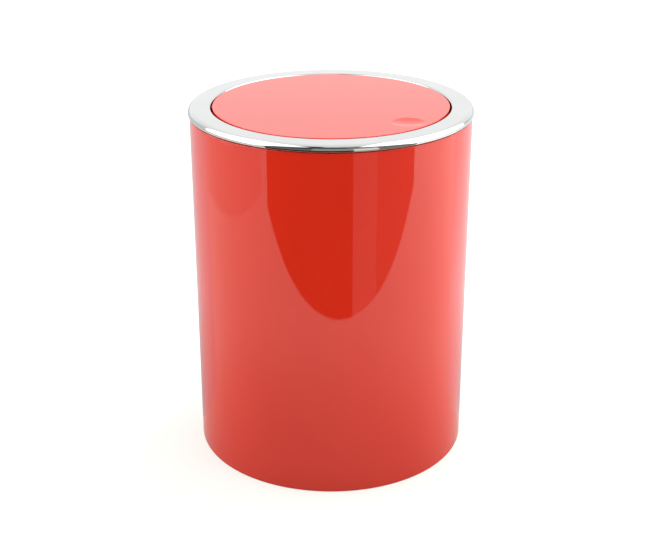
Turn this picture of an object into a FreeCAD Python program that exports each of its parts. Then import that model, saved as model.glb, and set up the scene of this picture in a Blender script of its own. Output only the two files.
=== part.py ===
"""Round bathroom bin with a chromed lid ring and a weighted swing flap.

The bin stands on z = 0 with its axis on Z. The flap turns about a line along X, and the
finger dimple that opens it lies towards -Y. Sizes are in millimetres and degrees.
"""

import FreeCAD
import Part
import math
import os

import Sketcher
from FreeCAD import Rotation, Vector

# Driving dimensions, one spreadsheet cell each
SIZES = {
    # the two overall sizes: ring across, and bucket rim above the floor
    "ring_outer_dia": 185.0,
    "body_rim_height": 231.2,
    # bucket
    "body_taper": 0.35,
    "body_wall": 2.0,
    "body_floor_raise": 4.0,
    "body_floor_thick": 2.2,
    "body_foot_width": 5.0,
    "body_foot_round": 0.8,
    "body_rim_round": 0.6,
    "body_floor_round": 5.0,
    # chromed ring
    "ring_overhang": 0.9,
    "ring_width": 14.82,
    "ring_rise": 4.8,
    "ring_shadow_gap": 1.0,
    "ring_wall": 1.6,
    "ring_outer_round": 3.4,
    "ring_inner_round": 1.5,
    "hook_count": 6,
    "hook_angle": 30.0,
    "hook_width": 8.0,
    "hook_thick": 1.4,
    "hook_barb": 0.8,
    "hook_barb_depth": 1.4,
    "hook_clearance": 0.3,
    # frame under the ring
    "flange_thick": 2.0,
    "flange_side_gap": 0.2,
    "frame_setback": 0.5,
    "frame_wall": 2.0,
    "frame_wall_depth": 8.8,
    "spigot_wall": 1.6,
    "spigot_depth": 8.6,
    "spigot_clearance": 0.35,
    "spigot_lead_in": 1.0,
    "rib_count": 12,
    "rib_angle": 15.0,
    "rib_thick": 1.4,
    "rib_depth": 5.6,
    "weld_overlap": 0.5,
    "stop_angle": 50.0,
    "stop_reach": 4.0,
    "stop_thick": 1.8,
    "stop_gap": 0.1,
    # swing flap
    "flap_gap": 1.0,
    "flap_recess": 0.15,
    "flap_depth": 9.25,
    "flap_skin": 2.0,
    "flap_skirt": 1.8,
    "flap_edge_round": 0.8,
    "dimple_edge_gap": 1.78,
    "dimple_dia": 21.0,
    "dimple_depth": 1.1,
    "dimple_rim_round": 3.0,
    "base_thick": 1.6,
    "base_clearance": 0.25,
    "notch_clearance": 0.4,
    "post_dia": 6.4,
    "post_inset": 21.45,
    "post_angle": 45.0,
    # counterweight
    "weight_inset": 8.45,
    "weight_width": 22.0,
    "weight_angle": 60.0,
    "weight_clearance": 0.1,
    "weight_corner_round": 2.0,
    "peg_dia": 4.0,
    "peg_clearance": 0.2,
    "peg_angle": 16.0,
    "peg_height": 3.0,
    # pivots
    "pivot_rise": 1.6,
    "pin_dia": 4.0,
    "pin_grip": 15.0,
    "pin_overhang": 0.6,
    "pin_chamfer": 0.4,
    "pin_bond_gap": 0.02,
    "pin_running_gap": 0.06,
    "boss_dia": 8.0,
    "boss_end_wall": 2.0,
    "bush_wall": 0.94,
    "bush_length": 6.0,
    "bush_seat_gap": 0.02,
    "bush_head_dia": 7.8,
    "bush_head_thick": 0.9,
    "socket_wall": 1.6,
    "spotface_depth": 0.1,
    "spotface_clearance": 0.3,
    "thrust_gap": 0.3,
    # screws
    "screw_dia": 2.5,
    "screw_length": 6.0,
    "screw_tip": 1.0,
    "screw_head_dia": 5.2,
    "screw_head_height": 1.7,
    "screw_head_round": 0.8,
    "screw_hole_clearance": 0.2,
    "screw_bite_gap": 0.02,
    "screw_end_gap": 0.3,
    "recess_width": 0.8,
    "recess_length": 2.8,
    "recess_depth": 0.9,
    "screw_count": 4,
}
FULL_TURN = 360
MATCH = 0.001
CUT_OVERRUN = "10"
# The joint line of a turned solid lies here, clear of the pivots, ribs and hooks
SEAM_SWING = "8"

doc = FreeCAD.newDocument("swing_bin")
sheet = doc.addObject("Spreadsheet::Sheet", "Sizes")
for row, (alias, amount) in enumerate(SIZES.items(), 1):
    sheet.set(f"A{row}", alias)
    sheet.set(f"B{row}", str(amount))
    sheet.setAlias(f"B{row}", alias)
doc.recompute()


def cell(alias):
    """Expression that reads one driving dimension."""
    return f"Sizes.{alias}"


def half(alias):
    """Expression for half of one driving dimension."""
    return f"(Sizes.{alias} / 2)"


def number(expression):
    """Value of an expression as it stands now."""
    return float(sheet.evalExpression(expression))


# Heights and radii that several pieces share, worked out from the driving dimensions
RIM = cell("body_rim_height")
RING_R = half("ring_outer_dia")
OPENING_R = f"({RING_R} - {cell('ring_width')})"
BODY_TOP_R = f"({RING_R} - {cell('ring_overhang')})"
BODY_LOW_R = f"({BODY_TOP_R} - {cell('body_taper')})"

RING_LOW = f"({RIM} + {cell('ring_shadow_gap')})"
RING_TOP = f"({RIM} + {cell('ring_rise')})"
RING_UNDER = f"({RING_TOP} - {cell('ring_wall')})"

FLANGE_TOP = f"({RIM} + {cell('flange_thick')})"
FLANGE_R = f"({RING_R} - {cell('ring_wall')} - {cell('flange_side_gap')})"
FRAME_R = f"({OPENING_R} + {cell('frame_setback')})"
FRAME_OUT_R = f"({FRAME_R} + {cell('frame_wall')})"
FRAME_LOW = f"({RIM} - {cell('frame_wall_depth')})"
SPIGOT_R = f"({BODY_TOP_R} - {cell('body_wall')} - {cell('spigot_clearance')})"
SPIGOT_IN_R = f"({SPIGOT_R} - {cell('spigot_wall')})"
SPIGOT_LOW = f"({RIM} - {cell('spigot_depth')})"
HOOK_R = f"(({FRAME_OUT_R} + {SPIGOT_IN_R}) / 2)"
HOOK_IN_R = f"({HOOK_R} - {half('hook_thick')})"
HOOK_OUT_R = f"({HOOK_R} + {half('hook_thick')})"

FLAP_R = f"({OPENING_R} - {cell('flap_gap')})"
FLAP_TOP = f"({RING_TOP} - {cell('flap_recess')})"
FLAP_LOW = f"({FLAP_TOP} - {cell('flap_depth')})"
SKIN_UNDER = f"({FLAP_TOP} - {cell('flap_skin')})"
SKIN_WELD = f"({SKIN_UNDER} + {cell('weld_overlap')})"
SKIRT_IN_R = f"({FLAP_R} - {cell('flap_skirt')})"
BASE_TOP = f"({FLAP_LOW} + {cell('base_thick')})"
DIMPLE_Y = f"({half('dimple_dia')} + {cell('dimple_edge_gap')} - {FLAP_R})"
POST_R = f"({FLAP_R} - {cell('post_inset')})"
POST_X = f"({POST_R} * cos({cell('post_angle')}))"
POST_Y = f"({POST_R} * sin({cell('post_angle')}))"
WEIGHT_OUT_R = f"({FLAP_R} - {cell('weight_inset')})"
WEIGHT_IN_R = f"({WEIGHT_OUT_R} - {cell('weight_width')})"
PEG_R = f"(({WEIGHT_IN_R} + {WEIGHT_OUT_R}) / 2)"
PEG_X = f"({PEG_R} * sin({cell('peg_angle')}))"
PEG_Y = f"({PEG_R} * cos({cell('peg_angle')}))"

PIVOT = f"({FLAP_LOW} + {cell('pivot_rise')})"
BUSH_BORE_R = f"({half('pin_dia')} + {cell('pin_running_gap')})"
BUSH_R = f"({BUSH_BORE_R} + {cell('bush_wall')})"
BUSH_SEAT = f"({FRAME_R} + {cell('spotface_depth')})"
BUSH_FACE = f"({BUSH_SEAT} - {cell('bush_head_thick')})"
BUSH_END = f"({BUSH_SEAT} + {cell('bush_length')})"
SOCKET_R = f"({BUSH_R} + {cell('bush_seat_gap')})"
SPOTFACE_R = f"({half('bush_head_dia')} + {cell('spotface_clearance')})"
BOSS_FACE = f"({BUSH_FACE} - {cell('thrust_gap')})"
PIN_INNER = f"({BOSS_FACE} - {cell('pin_grip')})"
BOSS_INNER = f"({PIN_INNER} - {cell('boss_end_wall')})"


# Modelling helpers
def new_body(label):
    """Empty solid body with the sub-part's name."""
    body = doc.addObject("PartDesign::Body", label)
    body.Label = label
    return body


def origin_part(body, role):
    """One of the body's own origin planes or axes."""
    return next(part for part in body.Origin.OriginFeatures if part.Role == role)


def new_sketch(body, name, role, shift=("0", "0", "0"), swing=None):
    """Sketch on an origin plane, shifted in the plane's own directions.

    With a swing, an upright XZ sketch is turned about the bin's axis by that angle.
    """
    sketch = body.newObject("Sketcher::SketchObject", name)
    sketch.AttachmentSupport = (origin_part(body, role), [""])
    sketch.MapMode = "FlatFace"
    if swing:
        sketch.AttachmentOffset = FreeCAD.Placement(Vector(), Rotation(Vector(0, 1, 0), 1))
        sketch.setExpression("AttachmentOffset.Rotation.Angle", swing)
    for direction, expression in zip("xyz", shift):
        if expression != "0":
            sketch.setExpression(f"AttachmentOffset.Base.{direction}", expression)
    return sketch


def pin_point(sketch, geometry, point, across, up):
    """Holds one point of a sketch at two expressions from the sketch's origin."""
    for kind, expression in (("DistanceX", across), ("DistanceY", up)):
        rule = Sketcher.Constraint(kind, -1, 1, geometry, point, number(expression))
        index = sketch.addConstraint(rule)
        sketch.setExpression(f"Constraints[{index}]", expression)


def outline(body, name, role, corners, **place):
    """Closed polygon sketch whose corners are pairs of expressions."""
    sketch = new_sketch(body, name, role, **place)
    spots = [Vector(number(across), number(up), 0) for across, up in corners]
    count = len(spots)
    for i in range(count):
        sketch.addGeometry(Part.LineSegment(spots[i], spots[(i + 1) % count]), False)
    for i in range(count):
        sketch.addConstraint(Sketcher.Constraint("Coincident", i, 2, (i + 1) % count, 1))
    for i, (across, up) in enumerate(corners):
        pin_point(sketch, i, 1, across, up)
    doc.recompute()
    return sketch


def rectangle(left, right, low, high):
    """Corners of a rectangle between four expressions."""
    return [(left, low), (right, low), (right, high), (left, high)]


def disc(body, name, role, radius, across="0", up="0", **place):
    """Sketch of one circle."""
    sketch = new_sketch(body, name, role, **place)
    centre = Vector(number(across), number(up), 0)
    sketch.addGeometry(Part.Circle(centre, Vector(0, 0, 1), number(radius)), False)
    pin_point(sketch, 0, 3, across, up)
    index = sketch.addConstraint(Sketcher.Constraint("Radius", 0, number(radius)))
    sketch.setExpression(f"Constraints[{index}]", radius)
    doc.recompute()
    return sketch


def check_change(body, name, kind, before, after):
    """Stops the build when a feature adds or removes nothing."""
    change = after.Shape.Volume - (before.Shape.Volume if before else 0)
    if kind in ("Pocket", "Groove"):
        change = -change
    if change < MATCH:
        raise RuntimeError(f"{body.Label}: {name} changed nothing")


def turn(body, name, sketch, axis="V_Axis", angle=None, kind="Revolution"):
    """Revolution or Groove of a sketch about one of its axes, all round or over an angle."""
    before = body.Tip
    feature = body.newObject(f"PartDesign::{kind}", name)
    feature.Profile = sketch
    feature.ReferenceAxis = (sketch, [axis])
    feature.Angle = FULL_TURN
    if angle:
        feature.Midplane = True
        feature.setExpression("Angle", angle)
    doc.recompute()
    check_change(body, name, kind, before, feature)
    return feature


def extrude(body, name, sketch, length, kind="Pad", both=False, reverse=False):
    """Pad or Pocket of a sketch over a length."""
    before = body.Tip
    feature = body.newObject(f"PartDesign::{kind}", name)
    feature.Profile = sketch
    feature.setExpression("Length", length)
    feature.Midplane = both
    feature.Reversed = reverse
    doc.recompute()
    check_change(body, name, kind, before, feature)
    return feature


def mirror(body, name, originals):
    """Repeats features on the other side of the YZ plane."""
    feature = body.newObject("PartDesign::Mirrored", name)
    feature.Originals = originals
    feature.MirrorPlane = (origin_part(body, "YZ_Plane"), [""])
    body.Tip = feature
    doc.recompute()
    return feature


def repeat_round(body, name, originals, count):
    """Repeats features evenly about the bin's axis."""
    feature = body.newObject("PartDesign::PolarPattern", name)
    feature.Originals = originals
    feature.Axis = (origin_part(body, "Z_Axis"), [""])
    feature.Angle = FULL_TURN
    feature.setExpression("Occurrences", count)
    body.Tip = feature
    doc.recompute()
    return feature


def soften(body, name, wanted, amount, kind="Fillet"):
    """Fillet or Chamfer of the body's edges that a test accepts."""
    base = body.Tip
    feature = body.newObject(f"PartDesign::{kind}", name)
    edges = [
        f"Edge{i}"
        for i, edge in enumerate(base.Shape.Edges, 1)
        if not edge.Degenerated and wanted(edge)
    ]
    if not edges:
        raise RuntimeError(f"{body.Label}: {name} found no edge")
    feature.Base = (base, edges)
    feature.setExpression("Radius" if kind == "Fillet" else "Size", amount)
    doc.recompute()
    return feature


def level_circles(*circles):
    """Test for the circular edges given as (radius, height) expressions."""
    targets = [(number(radius), number(height)) for radius, height in circles]

    def wanted(edge):
        return isinstance(edge.Curve, Part.Circle) and any(
            abs(edge.Curve.Radius - radius) < MATCH and abs(edge.Curve.Center.z - height) < MATCH
            for radius, height in targets
        )

    return wanted


def end_circles(edge):
    """Test that takes every circular edge."""
    return isinstance(edge.Curve, Part.Circle)


def upright_lines(edge):
    """Test that takes the straight edges along Z."""
    return isinstance(edge.Curve, Part.Line) and abs(edge.Curve.Direction.z) > 1 - MATCH


# Bucket: one moulding with a raised floor inside a foot ring
def make_body_shell():
    body = new_body("body_shell")
    floor_low = cell("body_floor_raise")
    floor_top = f"({floor_low} + {cell('body_floor_thick')})"
    foot_in = f"({BODY_LOW_R} - {cell('body_foot_width')})"
    rim_in = f"({BODY_TOP_R} - {cell('body_wall')})"
    floor_r = f"({BODY_LOW_R} - {cell('body_wall')})"
    section = outline(
        body,
        "bucket_section",
        "XZ_Plane",
        [
            (foot_in, "0"),
            (BODY_LOW_R, "0"),
            (BODY_TOP_R, RIM),
            (rim_in, RIM),
            (floor_r, floor_top),
            ("0", floor_top),
            ("0", floor_low),
            (foot_in, floor_low),
        ],
        swing=SEAM_SWING,
    )
    turn(body, "bucket", section)
    soften(body, "foot_round", level_circles((BODY_LOW_R, "0")), cell("body_foot_round"))
    rim_edges = level_circles((BODY_TOP_R, RIM), (rim_in, RIM))
    soften(body, "rim_round", rim_edges, cell("body_rim_round"))
    soften(body, "floor_round", level_circles((floor_r, floor_top)), cell("body_floor_round"))
    return body


# Chromed ring: a channel section with snap hooks that reach through the frame's flange
def make_chrome_ring():
    body = new_body("chrome_ring")
    wall = cell("ring_wall")
    outer_in = f"({RING_R} - {wall})"
    inner_out = f"({OPENING_R} + {wall})"
    section = outline(
        body,
        "channel_section",
        "XZ_Plane",
        [
            (OPENING_R, FLANGE_TOP),
            (inner_out, FLANGE_TOP),
            (inner_out, RING_UNDER),
            (outer_in, RING_UNDER),
            (outer_in, RING_LOW),
            (RING_R, RING_LOW),
            (RING_R, RING_TOP),
            (OPENING_R, RING_TOP),
        ],
        swing=SEAM_SWING,
    )
    turn(body, "channel", section)
    soften(body, "outer_round", level_circles((RING_R, RING_TOP)), cell("ring_outer_round"))
    corner_radius = f"({cell('ring_outer_round')} - {wall})"
    soften(body, "corner_round", level_circles((outer_in, RING_UNDER)), corner_radius)
    soften(body, "inner_round", level_circles((OPENING_R, RING_TOP)), cell("ring_inner_round"))

    barb_top = f"({RIM} - {cell('hook_clearance')})"
    barb_low = f"({barb_top} - {cell('hook_barb_depth')})"
    root = f"({RING_UNDER} + {wall} / 2)"
    hook = outline(
        body,
        "hook_section",
        "XZ_Plane",
        [
            (HOOK_IN_R, barb_low),
            (HOOK_OUT_R, barb_low),
            (f"({HOOK_OUT_R} + {cell('hook_barb')})", barb_top),
            (HOOK_OUT_R, barb_top),
            (HOOK_OUT_R, root),
            (HOOK_IN_R, root),
        ],
        swing=cell("hook_angle"),
    )
    first = extrude(body, "hook", hook, cell("hook_width"), both=True)
    repeat_round(body, "hooks", [first], cell("hook_count"))
    return body


# Lid frame: flange on the bucket's rim, spigot inside it, and the wall that carries the pivots
def make_lid_frame():
    body = new_body("lid_frame")
    weld = cell("weld_overlap")
    section = outline(
        body,
        "frame_section",
        "XZ_Plane",
        [
            (FRAME_R, FRAME_LOW),
            (FRAME_OUT_R, FRAME_LOW),
            (FRAME_OUT_R, RIM),
            (SPIGOT_IN_R, RIM),
            (SPIGOT_IN_R, SPIGOT_LOW),
            (SPIGOT_R, SPIGOT_LOW),
            (SPIGOT_R, RIM),
            (FLANGE_R, RIM),
            (FLANGE_R, FLANGE_TOP),
            (FRAME_R, FLANGE_TOP),
        ],
        swing=SEAM_SWING,
    )
    turn(body, "frame", section)
    soften(body, "lead_in", level_circles((SPIGOT_R, SPIGOT_LOW)), cell("spigot_lead_in"), "Chamfer")

    rib_low = f"({RIM} - {cell('rib_depth')})"
    rib = outline(
        body,
        "rib_section",
        "XZ_Plane",
        rectangle(f"({FRAME_OUT_R} - {weld})", f"({SPIGOT_IN_R} + {weld})", rib_low, f"({RIM} + {weld})"),
        swing=cell("rib_angle"),
    )
    first_rib = extrude(body, "rib", rib, cell("rib_thick"), both=True)
    repeat_round(body, "ribs", [first_rib], cell("rib_count"))

    stop_top = f"({FLAP_LOW} - {cell('stop_gap')})"
    ledge = outline(
        body,
        "stop_section",
        "YZ_Plane",
        rectangle(
            f"({FRAME_R} - {cell('stop_reach')})",
            f"({FRAME_R} + {weld})",
            f"({stop_top} - {cell('stop_thick')})",
            stop_top,
        ),
    )
    turn(body, "stop_ledge", ledge, angle=cell("stop_angle"))

    socket_out_r = f"({SOCKET_R} + {cell('socket_wall')})"
    socket = disc(body, "socket_circle", "YZ_Plane", socket_out_r, up=PIVOT, shift=("0", "0", FRAME_R))
    first_socket = extrude(body, "socket", socket, f"({BUSH_END} - {FRAME_R})")
    mirror(body, "sockets", [first_socket])
    spot = disc(body, "spotface_circle", "YZ_Plane", SPOTFACE_R, up=PIVOT)
    extrude(body, "spotfaces", spot, f"({BUSH_SEAT} * 2)", "Pocket", both=True)
    bore = disc(body, "bore_circle", "YZ_Plane", SOCKET_R, up=PIVOT)
    extrude(body, "bores", bore, f"(({SPIGOT_R} + {CUT_OVERRUN}) * 2)", "Pocket", both=True)

    gap = cell("hook_clearance")
    slot = outline(
        body,
        "slot_section",
        "XZ_Plane",
        rectangle(
            f"({HOOK_IN_R} - {gap})",
            f"({HOOK_OUT_R} + {gap})",
            f"({RIM} - {gap})",
            f"({FLANGE_TOP} + {gap})",
        ),
        swing=cell("hook_angle"),
    )
    first_slot = extrude(body, "slot", slot, f"({cell('hook_width')} + 2 * {gap})", "Pocket", both=True)
    repeat_round(body, "slots", [first_slot], cell("hook_count"))
    return body


# Flap: moulded top with a finger dimple, screw posts and two bosses for the pivot pins
def dimple_sketch(body):
    """Half section of a shallow spherical dent, drawn about the dimple's own upright axis."""
    sketch = new_sketch(body, "dimple_section", "YZ_Plane", shift=(DIMPLE_Y, "0", "0"))
    radius, depth = half("dimple_dia"), cell("dimple_depth")
    ball = f"(({radius} ^ 2 + {depth} ^ 2) / (2 * {depth}))"
    bottom, above = f"({FLAP_TOP} - {depth})", f"({FLAP_TOP} + {depth})"
    centre = f"({bottom} + {ball})"
    start = Vector(0, number(bottom), 0)
    rim = Vector(number(radius), number(FLAP_TOP), 0)
    top = Vector(number(radius), number(above), 0)
    peak = Vector(0, number(above), 0)
    middle = Vector(0, number(centre), 0)
    sweep = (rim - middle).getAngle(Vector(0, -1, 0))
    lowest = -math.pi / 2
    circle = Part.Circle(middle, Vector(0, 0, 1), number(ball))
    sketch.addGeometry(Part.ArcOfCircle(circle, lowest, lowest + sweep), False)
    for near, far in ((rim, top), (top, peak), (peak, start)):
        sketch.addGeometry(Part.LineSegment(near, far), False)
    for one, two in (((0, 2), (1, 1)), ((1, 2), (2, 1)), ((2, 2), (3, 1)), ((3, 2), (0, 1))):
        sketch.addConstraint(Sketcher.Constraint("Coincident", *one, *two))
    pin_point(sketch, 1, 1, radius, FLAP_TOP)
    pin_point(sketch, 2, 1, radius, above)
    pin_point(sketch, 3, 1, "0", above)
    pin_point(sketch, 3, 2, "0", bottom)
    sketch.addConstraint(Sketcher.Constraint("PointOnObject", 0, 3, -2))
    doc.recompute()
    return sketch


def make_flap_top():
    body = new_body("flap_top")
    section = outline(
        body,
        "flap_section",
        "XZ_Plane",
        [
            ("0", SKIN_UNDER),
            (SKIRT_IN_R, SKIN_UNDER),
            (SKIRT_IN_R, FLAP_LOW),
            (FLAP_R, FLAP_LOW),
            (FLAP_R, FLAP_TOP),
            ("0", FLAP_TOP),
        ],
        swing=SEAM_SWING,
    )
    turn(body, "flap", section)
    soften(body, "edge_round", level_circles((FLAP_R, FLAP_TOP)), cell("flap_edge_round"))

    bulge_low = f"({SKIN_UNDER} - {cell('dimple_depth')})"
    dimple_r = half("dimple_dia")
    bulge = outline(
        body,
        "bulge_section",
        "YZ_Plane",
        [("0", bulge_low), (f"({dimple_r} / 2)", bulge_low), (dimple_r, SKIN_WELD), ("0", SKIN_WELD)],
        shift=(DIMPLE_Y, "0", "0"),
    )
    turn(body, "bulge", bulge)
    turn(body, "dimple", dimple_sketch(body), kind="Groove")
    soften(body, "dimple_round", level_circles((dimple_r, FLAP_TOP)), cell("dimple_rim_round"))

    at_post = {"across": POST_X, "up": POST_Y, "shift": ("0", "0", BASE_TOP)}
    post = disc(body, "post_circle", "XY_Plane", half("post_dia"), **at_post)
    first_post = extrude(body, "post", post, f"({SKIN_WELD} - {BASE_TOP})")
    repeat_round(body, "posts", [first_post], cell("screw_count"))
    pilot_r = f"({half('screw_dia')} + {cell('screw_bite_gap')})"
    pilot = disc(body, "pilot_circle", "XY_Plane", pilot_r, **at_post)
    pilot_depth = f"({FLAP_LOW} + {cell('screw_length')} + {cell('screw_end_gap')} - {BASE_TOP})"
    first_pilot = extrude(body, "pilot", pilot, pilot_depth, "Pocket", reverse=True)
    repeat_round(body, "pilots", [first_pilot], cell("screw_count"))

    boss_r = half("boss_dia")
    start = ("0", "0", BOSS_INNER)
    boss = disc(body, "boss_circle", "YZ_Plane", boss_r, up=PIVOT, shift=start)
    first_boss = extrude(body, "boss", boss, f"({BOSS_FACE} - {BOSS_INNER})")
    web = outline(
        body, "web_section", "YZ_Plane", rectangle(f"(0 - {boss_r})", boss_r, PIVOT, SKIN_WELD), shift=start
    )
    first_web = extrude(body, "web", web, f"({SKIRT_IN_R} - {BOSS_INNER})")
    mirror(body, "bosses", [first_boss, first_web])
    grip_r = f"({half('pin_dia')} + {cell('pin_bond_gap')})"
    grip = disc(body, "grip_circle", "YZ_Plane", grip_r, up=PIVOT, shift=("0", "0", PIN_INNER))
    grip_length = f"({cell('pin_grip')} + {CUT_OVERRUN})"
    first_grip = extrude(body, "grip", grip, grip_length, "Pocket", reverse=True)
    mirror(body, "grips", [first_grip])
    return body


# Base plate that closes the flap from below and carries the counterweight on two pegs
def make_flap_base():
    body = new_body("flap_base")
    plate_r = f"({SKIRT_IN_R} - {cell('base_clearance')})"
    thick = cell("base_thick")
    plate = disc(body, "plate_circle", "XY_Plane", plate_r, shift=("0", "0", FLAP_LOW))
    extrude(body, "plate", plate, thick)
    notch_half = f"({half('boss_dia')} + {cell('notch_clearance')})"
    notch = outline(
        body,
        "notch_section",
        "XY_Plane",
        rectangle(
            f"({BOSS_INNER} - {cell('notch_clearance')})",
            f"({plate_r} + {CUT_OVERRUN})",
            f"(0 - {notch_half})",
            notch_half,
        ),
        shift=("0", "0", FLAP_LOW),
    )
    first_notch = extrude(body, "notch", notch, thick, "Pocket", reverse=True)
    mirror(body, "notches", [first_notch])
    hole_r = f"({half('screw_dia')} + {cell('screw_hole_clearance')})"
    hole = disc(
        body, "hole_circle", "XY_Plane", hole_r, across=POST_X, up=POST_Y, shift=("0", "0", FLAP_LOW)
    )
    first_hole = extrude(body, "hole", hole, thick, "Pocket", reverse=True)
    repeat_round(body, "holes", [first_hole], cell("screw_count"))
    peg = disc(
        body, "peg_circle", "XY_Plane", half("peg_dia"), across=PEG_X, up=PEG_Y, shift=("0", "0", FLAP_LOW)
    )
    first_peg = extrude(body, "peg", peg, f"({thick} + {cell('peg_height')})")
    mirror(body, "pegs", [first_peg])
    return body


# Steel counterweight behind the pivot line, which brings the flap back to the stop ledge
def make_counterweight():
    body = new_body("counterweight")
    top = f"({SKIN_UNDER} - {cell('weight_clearance')})"
    section = outline(
        body,
        "weight_section",
        "YZ_Plane",
        rectangle(WEIGHT_IN_R, WEIGHT_OUT_R, BASE_TOP, top),
    )
    turn(body, "weight", section, angle=cell("weight_angle"))
    soften(body, "corner_round", upright_lines, cell("weight_corner_round"))
    hole_r = f"({half('peg_dia')} + {cell('peg_clearance')})"
    hole = disc(
        body, "peg_hole_circle", "XY_Plane", hole_r, across=PEG_X, up=PEG_Y, shift=("0", "0", BASE_TOP)
    )
    first_hole = extrude(body, "peg_hole", hole, f"({top} - {BASE_TOP})", "Pocket", reverse=True)
    mirror(body, "peg_holes", [first_hole])
    return body


# Steel pivot pin, bonded in the flap's boss and turning in the bush
def make_pivot_pin(label, side):
    body = new_body(label)
    start = ("0", "0", f"({side} * {PIN_INNER})")
    circle = disc(body, "pin_circle", "YZ_Plane", half("pin_dia"), up=PIVOT, shift=start)
    length = f"({BUSH_END} + {cell('pin_overhang')} - {PIN_INNER})"
    extrude(body, "pin", circle, length, reverse=side < 0)
    soften(body, "end_chamfer", end_circles, cell("pin_chamfer"), "Chamfer")
    return body


# Headed plastic bush, pushed into the frame's socket from the inside
def make_pivot_bush(label, side):
    body = new_body(label)
    head_r = half("bush_head_dia")
    corners = [
        (BUSH_FACE, BUSH_BORE_R),
        (BUSH_FACE, head_r),
        (BUSH_SEAT, head_r),
        (BUSH_SEAT, BUSH_R),
        (BUSH_END, BUSH_R),
        (BUSH_END, BUSH_BORE_R),
    ]
    section = outline(
        body,
        "bush_section",
        "XZ_Plane",
        [(f"({side} * {along})", radius) for along, radius in corners],
        shift=("0", PIVOT, "0"),
    )
    turn(body, "bush", section, axis="H_Axis")
    return body


# Four pan-head screws that hold the base plate to the flap's posts
def make_flap_screws():
    body = new_body("flap_screws")
    body.AllowCompound = True
    head_low = f"({FLAP_LOW} - {cell('screw_head_height')})"
    end = f"({FLAP_LOW} + {cell('screw_length')})"
    head_r, shank_r = half("screw_head_dia"), half("screw_dia")
    section = outline(
        body,
        "screw_section",
        "XZ_Plane",
        [
            ("0", head_low),
            (head_r, head_low),
            (head_r, FLAP_LOW),
            (shank_r, FLAP_LOW),
            (shank_r, f"({end} - {cell('screw_tip')})"),
            (f"({shank_r} / 3)", end),
            ("0", end),
        ],
        shift=(POST_X, "0", f"(0 - {POST_Y})"),
    )
    screw = turn(body, "screw", section)
    dome = soften(body, "head_round", level_circles((head_r, head_low)), cell("screw_head_round"))
    thin, long = half("recess_width"), half("recess_length")
    quarter = [(thin, thin), (thin, long), (f"(0 - {thin})", long), (f"(0 - {thin})", thin)]
    cross = quarter + [(f"(0 - {up})", across) for across, up in quarter[1:]]
    cross += [(f"(0 - {across})", f"(0 - {up})") for across, up in quarter[1:]]
    cross += [(up, f"(0 - {across})") for across, up in quarter[1:-1]]
    recess = outline(body, "recess_outline", "XY_Plane", cross, shift=(POST_X, POST_Y, head_low))
    slot = extrude(body, "recess", recess, cell("recess_depth"), "Pocket", reverse=True)
    repeat_round(body, "screws", [screw, dome, slot], cell("screw_count"))
    return body


SUBPARTS = [
    make_body_shell(),
    make_chrome_ring(),
    make_lid_frame(),
    make_flap_top(),
    make_flap_base(),
    make_counterweight(),
    make_pivot_pin("pivot_pin_left", -1),
    make_pivot_pin("pivot_pin_right", 1),
    make_pivot_bush("pivot_bush_left", -1),
    make_pivot_bush("pivot_bush_right", 1),
    make_flap_screws(),
]

doc.recompute()
for item in doc.Objects:
    if "Invalid" in item.State or "Error" in item.State:
        raise RuntimeError(f"{item.Label} did not recompute: {item.State}")
for part in SUBPARTS:
    if part.Shape.isNull() or not part.Shape.isValid():
        raise RuntimeError(f"{part.Label} is not a valid solid")

os.makedirs("parts", exist_ok=True)
for part in SUBPARTS:
    part.Shape.exportStep(f"parts/{part.Label}.step")
    print(part.Label, round(part.Shape.Volume), len(part.Shape.Solids))
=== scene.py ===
"""Dresses the swing-flap bin: moulded bucket, plated lid ring, lid frame and weighted flap.

Sizes in the classes are in millimetres and degrees. Meshes are in metres, in the frame of the
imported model: +Z up, the flap's pivot along X, the finger dimple towards -Y.
"""

import logging
import math
from collections.abc import Callable
from dataclasses import dataclass, replace
from enum import Enum

import bpy
from mathutils import Matrix, Vector


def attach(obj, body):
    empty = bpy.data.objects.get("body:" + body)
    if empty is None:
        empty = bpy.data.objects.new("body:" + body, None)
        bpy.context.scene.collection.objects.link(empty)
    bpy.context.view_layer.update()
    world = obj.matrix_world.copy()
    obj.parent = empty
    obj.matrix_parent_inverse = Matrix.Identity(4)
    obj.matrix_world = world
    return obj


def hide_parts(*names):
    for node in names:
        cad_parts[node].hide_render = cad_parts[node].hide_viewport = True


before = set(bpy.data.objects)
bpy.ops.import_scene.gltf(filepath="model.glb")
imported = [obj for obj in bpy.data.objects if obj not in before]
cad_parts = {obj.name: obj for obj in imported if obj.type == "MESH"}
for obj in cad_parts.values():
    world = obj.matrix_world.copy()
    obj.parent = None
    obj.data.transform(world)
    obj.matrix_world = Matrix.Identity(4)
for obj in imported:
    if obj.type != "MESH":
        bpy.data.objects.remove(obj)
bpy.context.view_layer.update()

MM = 0.001
MERGE_DISTANCE = 1e-7
SAME_HEIGHT = 1e-6
BEVEL_PARTS = 3
log = logging.getLogger("swing_bin")

Point = tuple[float, float]
Span = tuple[float, float]
Triple = tuple[float, float, float]
Colour = tuple[float, float, float]
Piece = bpy.types.Object
Socket = bpy.types.NodeSocket


class Body(Enum):
    """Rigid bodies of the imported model."""

    BUCKET = "bucket"
    LID = "lid"
    FLAP = "flap"


class Slot(Enum):
    """Material slots of the record."""

    RED = "red_plastic"
    CHROME = "chrome_plate"
    ZINC = "zinced_steel"
    STEEL = "bright_steel"
    ACETAL = "acetal"


class Side(Enum):
    """Ends of the pivot line."""

    LEFT = -1
    RIGHT = 1


# Finishes


NOISE_MIDDLE: Span = (0.3, 0.7)
NUMBERS = "ShaderNodeMath"
VECTORS = "ShaderNodeVectorMath"


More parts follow.
